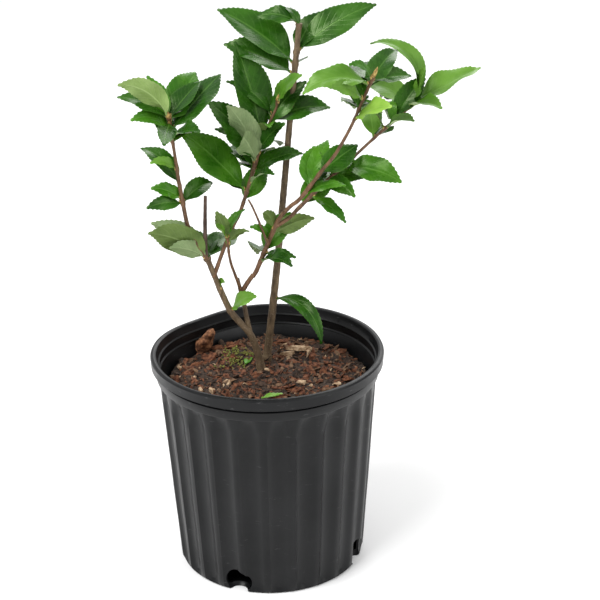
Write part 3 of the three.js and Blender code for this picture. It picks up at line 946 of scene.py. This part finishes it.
def joint_leaves(mass, run, found):
    """Leaves at the joints of a mass's stretch of its run, each further round than the last."""
    low, high = (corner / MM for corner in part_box(mass))
    height = found[0][0].z - JOINT_PITCH
    bearing = rng.uniform(0, 360)
    while height < found[-1][0].z + JOINT_PITCH:
        place = run.at(height)
        bearing += JOINT_TURN
        for _ in range(TRIES):
            turned = (bearing + rng.gauss(0, JOINT_WANDER)) % 360
            length = rng.uniform(*JOINT_LENGTHS)
            rise, droop = rng.uniform(*JOINT_RISES), rng.uniform(*JOINT_DROOPS)
            tip = place + heading(turned, rise - droop / 2) * length
            if tip.z < high.z and all(low[k] - LEEWAY < tip[k] < high[k] + LEEWAY for k in range(3)):
                yield place, (turned, rise, length, leaf_width(length, droop), droop)
                break
        height += JOINT_PITCH * rng.uniform(0.8, 1.2)


def outline_width(share):
    """A blade's half-width along its length, 1 at its widest, that ends in a drawn-out point."""
    foot, point, drawn_out = 0.68, 0.95, 0.32
    widest = foot / (foot + point)
    share = min(max(share, 0.0), 1.0)
    return (share / widest) ** foot * ((1 - share) / (1 - widest)) ** point * (1 - drawn_out * share ** 5)


def face_roll(way, bearing, facing):
    """The roll in degrees that turns a blade's face to the light, or its underside if facing is below 0."""
    flat = math.radians(bearing)
    up = way.cross(Vector((-math.sin(flat), math.cos(flat), 0)))
    light = heading(*LIGHT_FROM) * (1 if facing >= 0 else -1)
    target = (light - way * light.dot(way)).normalized()
    angle = math.atan2(up.cross(target).dot(way), up.dot(target))
    return math.degrees(angle) * abs(facing)


def roll_in(share):
    """The roll sets in along the stalk and the first part of the blade."""
    return min(1.0, max(0.0, 0.4 + share * 3))


class Foliage:
    """The leaves of one tint, gathered for one joined mesh with an upper and a lower finish."""

    def __init__(self, tint):
        self.tint = tint
        self.points, self.faces, self.finishes, self.blade_map, self.cells = [], [], [], [], []
        self.count = 0

    def leaf(self, foot, bearing, rise, length, width, droop, facing):
        """One closed blade on its stalk, folded along the midrib, cupped, waved and toothed."""
        teeth = max(6, round(length / TOOTH_PITCH))
        rows = 2 * teeth
        fold = rng.uniform(0.25, 0.62)
        curl = rng.uniform(0.05, 0.32)
        wave = rng.uniform(0.06, 0.19)
        waves = rng.uniform(1.2, 2.6)
        phase = [rng.uniform(0, math.tau) for _ in range(2)]
        turn = rng.gauss(0, 9)
        twist = rng.gauss(0, 13)
        roll = face_roll(heading(bearing, rise - droop * 0.4), bearing, facing) + rng.gauss(0, 7)
        centre = Vector(foot)
        last = len(COLUMNS) - 1
        upper, lower = [], []
        for row in range(rows + 1):
            along = row / rows
            share = (along - PETIOLE_SHARE) / (1 - PETIOLE_SHARE)
            way = heading(bearing + turn * along, rise - droop * along ** 1.25)
            flat = math.radians(bearing + turn * along)
            side = Vector((-math.sin(flat), math.cos(flat), 0))
            turned = roll_in(share) * math.radians(roll) + math.radians(twist) * max(share, 0)
            side = Matrix.Rotation(turned, 3, way) @ side
            up = way.cross(side)
            if row:
                centre = centre + way * length / rows
            if row == rows:
                upper.append([len(self.points)] * len(COLUMNS))
                lower.append(upper[-1])
                self.points.append(centre * MM)
                break
            blade = outline_width(share)
            half = max(width / 2 * blade, PETIOLE_RADIUS)
            open_share = min(1.0, blade * 3)
            if row % 2 and share > 0.08:
                half += TOOTH_DEPTH
            top, under = [], []
            for column, across in enumerate(COLUMNS):
                reach = abs(across)
                swell = math.sin(math.tau * waves * share + phase[across > 0])
                height = half * open_share * (fold * reach - curl * reach ** 2 + wave * swell * reach ** 2)
                thick = BLADE_THICKNESS / 2 * (1 - reach) + (1 - open_share) * PETIOLE_RADIUS * (1 - reach)
                rib = 0.3 * (reach < 0.1) * (1 - share)
                spot = centre + side * across * half + up * height
                if row % 2 and reach == 1 and share > 0.08:
                    spot = spot + way * TOOTH_LEAN
                if column in (0, last):
                    top.append(len(self.points))
                    under.append(len(self.points))
                    self.points.append(spot * MM)
                else:
                    top.append(len(self.points))
                    self.points.append((spot + up * (thick - rib * 0.5)) * MM)
                    under.append(len(self.points))
                    self.points.append((spot - up * (thick + rib)) * MM)
            upper.append(top)
            lower.append(under)
        self.skin(upper, lower, rows)
        cap = upper[0] + lower[0][-2:0:-1]
        self.face(cap, 1, [(0.5, -0.1)] * len(cap))
        self.count += 1

    def skin(self, upper, lower, rows):
        """Both faces of a blade, cut into the same triangles so that neither comes through the other."""
        for row in range(rows):
            for column in range(len(COLUMNS) - 1):
                near, far = (row, column), (row, column + 1)
                near_on, far_on = (row + 1, column), (row + 1, column + 1)
                halves = [(near, near_on, far_on), (near, far_on, far)]
                if row == rows - 1:
                    halves = [(near, near_on, far)]
                for corners in halves:
                    spots = [((COLUMNS[c] + 1) / 2, (r / rows - PETIOLE_SHARE) / (1 - PETIOLE_SHARE))
                             for r, c in corners]
                    self.face([upper[r][c] for r, c in corners], 0, spots)
                    self.face([lower[r][c] for r, c in reversed(corners)], 1, spots[::-1])

    def face(self, corners, side, spots):
        self.faces.append(corners)
        self.finishes.append(side)
        self.blade_map += spots
        self.cells += [(self.count, side)] * len(spots)

    def build(self):
        """The joined mesh, with the blade's own map and one atlas in which each side has its cell."""
        cells = math.ceil(math.sqrt(2 * self.count))
        atlas = []
        for (across, along), (leaf, side) in zip(self.blade_map, self.cells):
            cell = 2 * leaf + side
            place = (cell % cells + 0.08 + 0.84 * across, cell // cells + 0.12 + 0.8 * max(-0.1, along))
            atlas.append((place[0] / cells, place[1] / cells))
        piece = joined_mesh(
            "leaves_" + self.tint, self.points, self.faces, [UPPERS[self.tint], UNDERS[self.tint]],
            self.finishes, {"leaf": self.blade_map, "OFBake": atlas})
        smooth(piece, 60)
        return piece


def bud(pile, centre, way, length, radius):
    """A pointed bud of overlapping scales."""
    side = way.orthogonal().normalized()
    other = way.cross(side)
    sides, rings = 7, ((0.0, 0.6), (0.25, 1.0), (0.55, 0.85), (0.8, 0.45))
    points = []
    for level, (share, size) in enumerate(rings):
        for k in range(sides):
            angle = math.tau * (k + 0.5 * level) / sides
            points.append((centre + way * length * share
                           + (side * math.cos(angle) + other * math.sin(angle)) * radius * size) * MM)
    points.append((centre + way * length) * MM)
    faces = [tuple(reversed(range(sides)))]
    for level in range(len(rings) - 1):
        for k in range(sides):
            a, b = level * sides + k, level * sides + (k + 1) % sides
            faces.append((a, b, b + sides, a + sides))
    start = (len(rings) - 1) * sides
    faces += [(start + k, start + (k + 1) % sides, len(points) - 1) for k in range(sides)]
    pile.add(points, faces)


def grow_spray(foliage, buds, run, mass, tints):
    """One mass's leaves: those that make its outline, those at its other joints, and far fellows.

    Each leaf of the first two kinds has a small bud in the crook of its stalk.
    """
    found = reaches(mass, run)
    leaves = [(root, grow_leaf(root, tip, arc)) for root, tip, arc in found]
    if found[0][0].z > FOLIAGE_FOOT:
        leaves += joint_leaves(mass, run, found)
    for index, (root, shape) in enumerate(leaves):
        tint, _, under = tints[index % len(tints)].partition(" ")
        facing = -rng.uniform(0.6, 0.8) if under else rng.uniform(0.4, 0.9)
        foliage[tint].leaf(root, *shape, facing)
        bearing, rise, length = shape[:3]
        run.joints.append(root.z)
        if length > FULL_LENGTH and root.z > FOLIAGE_FOOT and rng.random() < FAR_SHARE:
            far = [rng.uniform(*limits) for limits in FAR_LIMITS]
            far_tint = rng.choice(FAR_TINTS)
            foliage[far_tint].leaf(root, *far, rng.uniform(*FAR_DROOPS), FAR_FACING)
        out = heading(bearing, rise).lerp(run.nearest(root)[1], 0.5).normalized()
        bud(buds, root + heading(bearing, 10) * run.tip, out, rng.uniform(2.5, 4.5), 0.9)


def build_plant():
    """The wood, run by run, each with its sprays, then the leaves of each tint and the buds."""
    rng.seed(GROWTH_SEED)
    foliage = {tint: Foliage(tint) for tint in UPPERS}
    buds = Pile()
    for name, (nodes, foot, tip, sink, extension, flare, slot, finish) in WOOD.items():
        run = Run(name, nodes, foot, tip, sink, extension, flare)
        for mass, (carrier, tints) in SPRAYS.items():
            if carrier == name:
                grow_spray(foliage, buds, run, mass, tints)
        run.build(slot, finish)
        if name in END_BUDS:
            end, along = run.line[-1], (run.line[-1] - run.line[-3]).normalized()
            bud(buds, end - along, along, END_BUDS[name], 1.5)
    for x, y, bearing, length, width, tint in SCRAPS:
        foliage[tint].leaf(Vector((x, y, soil_height(x, y) + 1.5)), bearing, 14, length, width, 20, 0)
    masses = sorted(s["node"] for s in frame["record"]["subparts"] if s["material_slot"] == "leaves")
    for leaves in foliage.values():
        finish_piece(leaves.build(), "leaves", *masses)
        masses = []
    finish_piece(buds.mesh("buds", [BUD]), "leaves")


build_pot()
build_soil()
build_chips()
build_chunk()
build_moss()
build_plant()


# ---------- floor, light and camera ----------
# Each light's name, place and width in metres, and power in watts.
LIGHTS = (
    ("key", (-0.9, -0.8, 1.7), 1.1, 34),
    ("fill", (1.3, -0.9, 1.0), 1.2, 9),
    ("back", (0.3, 1.4, 1.4), 1.2, 14),
)


def build_stage():
    """A matt pale floor, an even white surround and three soft lights."""
    deselect()
    bpy.ops.mesh.primitive_plane_add(size=8, location=(0, 0, 0))
    floor = bpy.context.object
    floor.name = "floor"
    material, s, sockets = new_material("floor_white", Roughness=0.9, Specular_IOR_Level=0.2)
    sockets["Base Color"].default_value = (0.95, 0.95, 0.95, 1)
    floor.data.materials.append(material)
    world = bpy.data.worlds.new("studio")
    world.use_nodes = True
    world.node_tree.nodes["Background"].inputs[0].default_value = (1, 1, 1, 1)
    world.node_tree.nodes["Background"].inputs[1].default_value = 0.72
    bpy.context.scene.world = world
    aim = Vector((0, 0, 0.25))
    for name, place, size, power in LIGHTS:
        bpy.ops.object.light_add(type="AREA", location=place)
        light = bpy.context.object
        light.name = name
        light.data.size = size
        light.data.energy = power
        light.rotation_euler = (aim - Vector(place)).to_track_quat("-Z", "Y").to_euler()


def build_camera():
    """The camera looks a little down on the plant through a long lens."""
    down, roll, distance = 23.1, 0.95, 1.2
    aim = (CAD_LOW + CAD_HIGH) / 2 + Vector((-7, 0, -1.8)) * MM
    aim.y = 0
    tip_up = Matrix.Rotation(math.radians(90 - down), 4, "X")
    back = tip_up.to_3x3() @ Vector((0, 0, distance))
    bpy.ops.object.camera_add()
    camera = bpy.context.object
    turned = tip_up @ Matrix.Rotation(math.radians(-roll), 4, "Z")
    camera.matrix_world = Matrix.Translation(aim + back) @ turned
    camera.data.lens = 100.4
    camera.data.sensor_width = 36
    bpy.context.scene.camera = camera


build_stage()
build_camera()
bpy.context.scene.view_settings.view_transform = "Standard"
